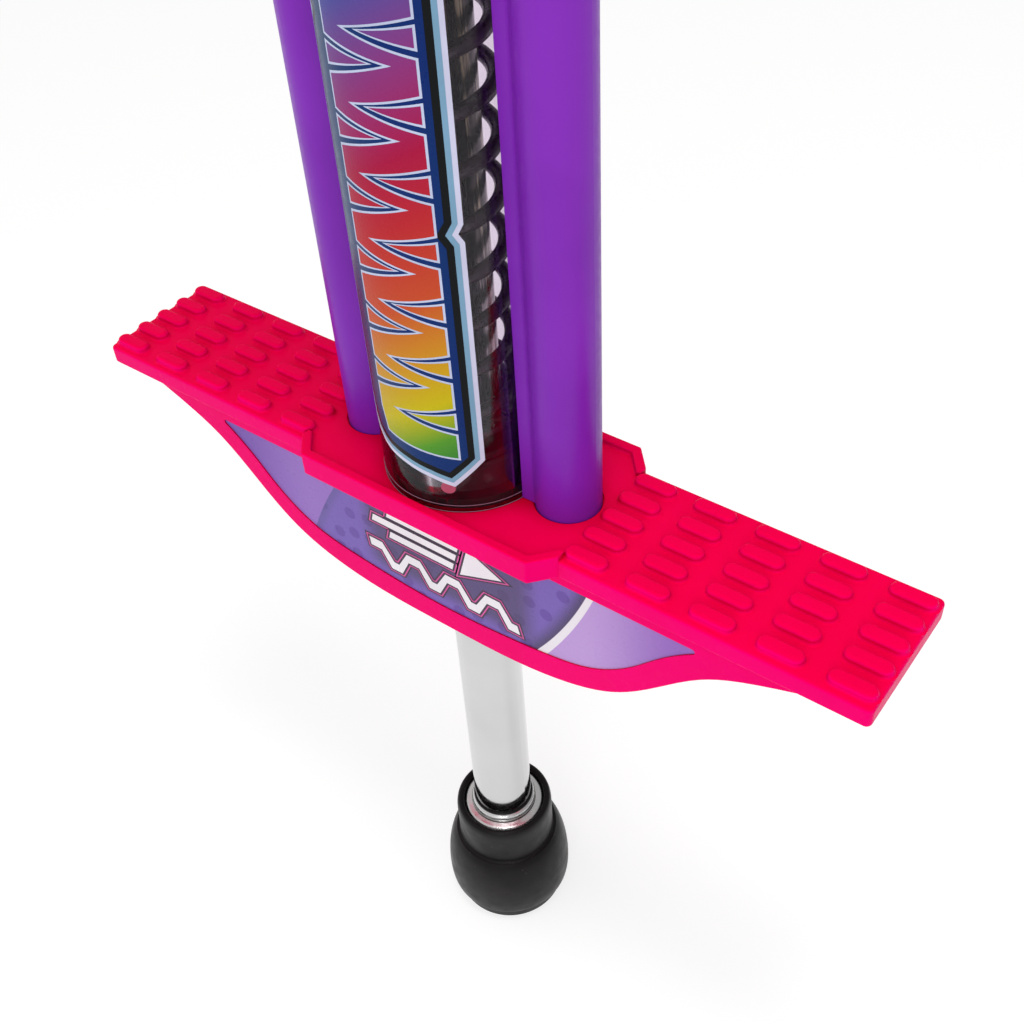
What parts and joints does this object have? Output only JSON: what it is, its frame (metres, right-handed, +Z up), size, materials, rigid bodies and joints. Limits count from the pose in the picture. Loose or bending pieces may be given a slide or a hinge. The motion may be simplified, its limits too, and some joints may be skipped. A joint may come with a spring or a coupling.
{
  "type": "pogo stick",
  "caption": "Child's pogo stick with a clear spring tube between side tubes, a studded footrest, a T-shaped handlebar and a sprung shaft with a rubber foot.",
  "frame": {"origin": "on the floor, under the middle of the foot's sole, with the spring at rest", "axes": "+Z up along the shaft, X along the treads and the handlebar with the rider's right at +X seen from the front label's side, -Y towards the front label"},
  "size_m": [0.3172, 0.0662, 0.872],
  "materials": {
    "pink_plastic": "injection moulded, smooth semi-gloss",
    "label_print": "printed lavender panel under clear film",
    "purple_paint": "smooth satin powder coat",
    "clear_plastic": "clear extruded tube, polished",
    "graphic_print": "printed film, glossy",
    "black_plastic": "moulded nylon, matt",
    "black_rubber": "matt moulded rubber",
    "spring_steel": "black oxide, oiled",
    "zinc_steel": "zinc plated",
    "bar_steel": "smooth satin powder coat",
    "grip_rubber": "soft moulded grip",
    "chrome_steel": "polished chrome plate"
  },
  "bodies": {
    "housing": {"footrest": "pink_plastic", "front_label": "label_print", "back_label": "label_print", "footrest_bolts": "zinc_steel", "footrest_nuts": "zinc_steel", "left_side_tube": "purple_paint", "right_side_tube": "purple_paint", "spring_tube": "clear_plastic", "tube_graphic": "graphic_print", "tube_pegs": "pink_plastic", "base_collar": "black_plastic", "tube_seal": "black_plastic", "rebound_bumper": "black_rubber", "lower_bush": "black_plastic", "main_spring": "spring_steel", "top_spring_seat": "black_plastic", "top_bush": "black_plastic", "seat_bolts": "zinc_steel", "head_front_shell": "pink_plastic", "head_rear_shell": "pink_plastic", "head_screws": "zinc_steel", "head_bolts": "zinc_steel", "head_nuts": "zinc_steel", "handlebar": "bar_steel", "handlebar_bolt": "zinc_steel", "handlebar_nut": "zinc_steel", "left_grip": "grip_rubber", "right_grip": "grip_rubber", "left_end_plug": "black_plastic", "right_end_plug": "black_plastic"},
    "plunger": {"shaft": "chrome_steel", "shaft_top_plug": "black_plastic", "spring_pin": "zinc_steel", "spring_washer": "spring_steel", "rubber_tip": "black_rubber", "tip_ferrule": "chrome_steel", "shaft_band": "black_rubber", "tip_disc": "zinc_steel"}
  },
  "joints": [
    {"name": "shaft_slide", "type": "slide", "parent": "housing", "child": "plunger", "axis": [0, 0, 1], "range_m": [0, 0.08], "stiffness_N_per_m": 3900, "springref_m": -0.02, "deforming": ["main_spring"]}
  ]
}
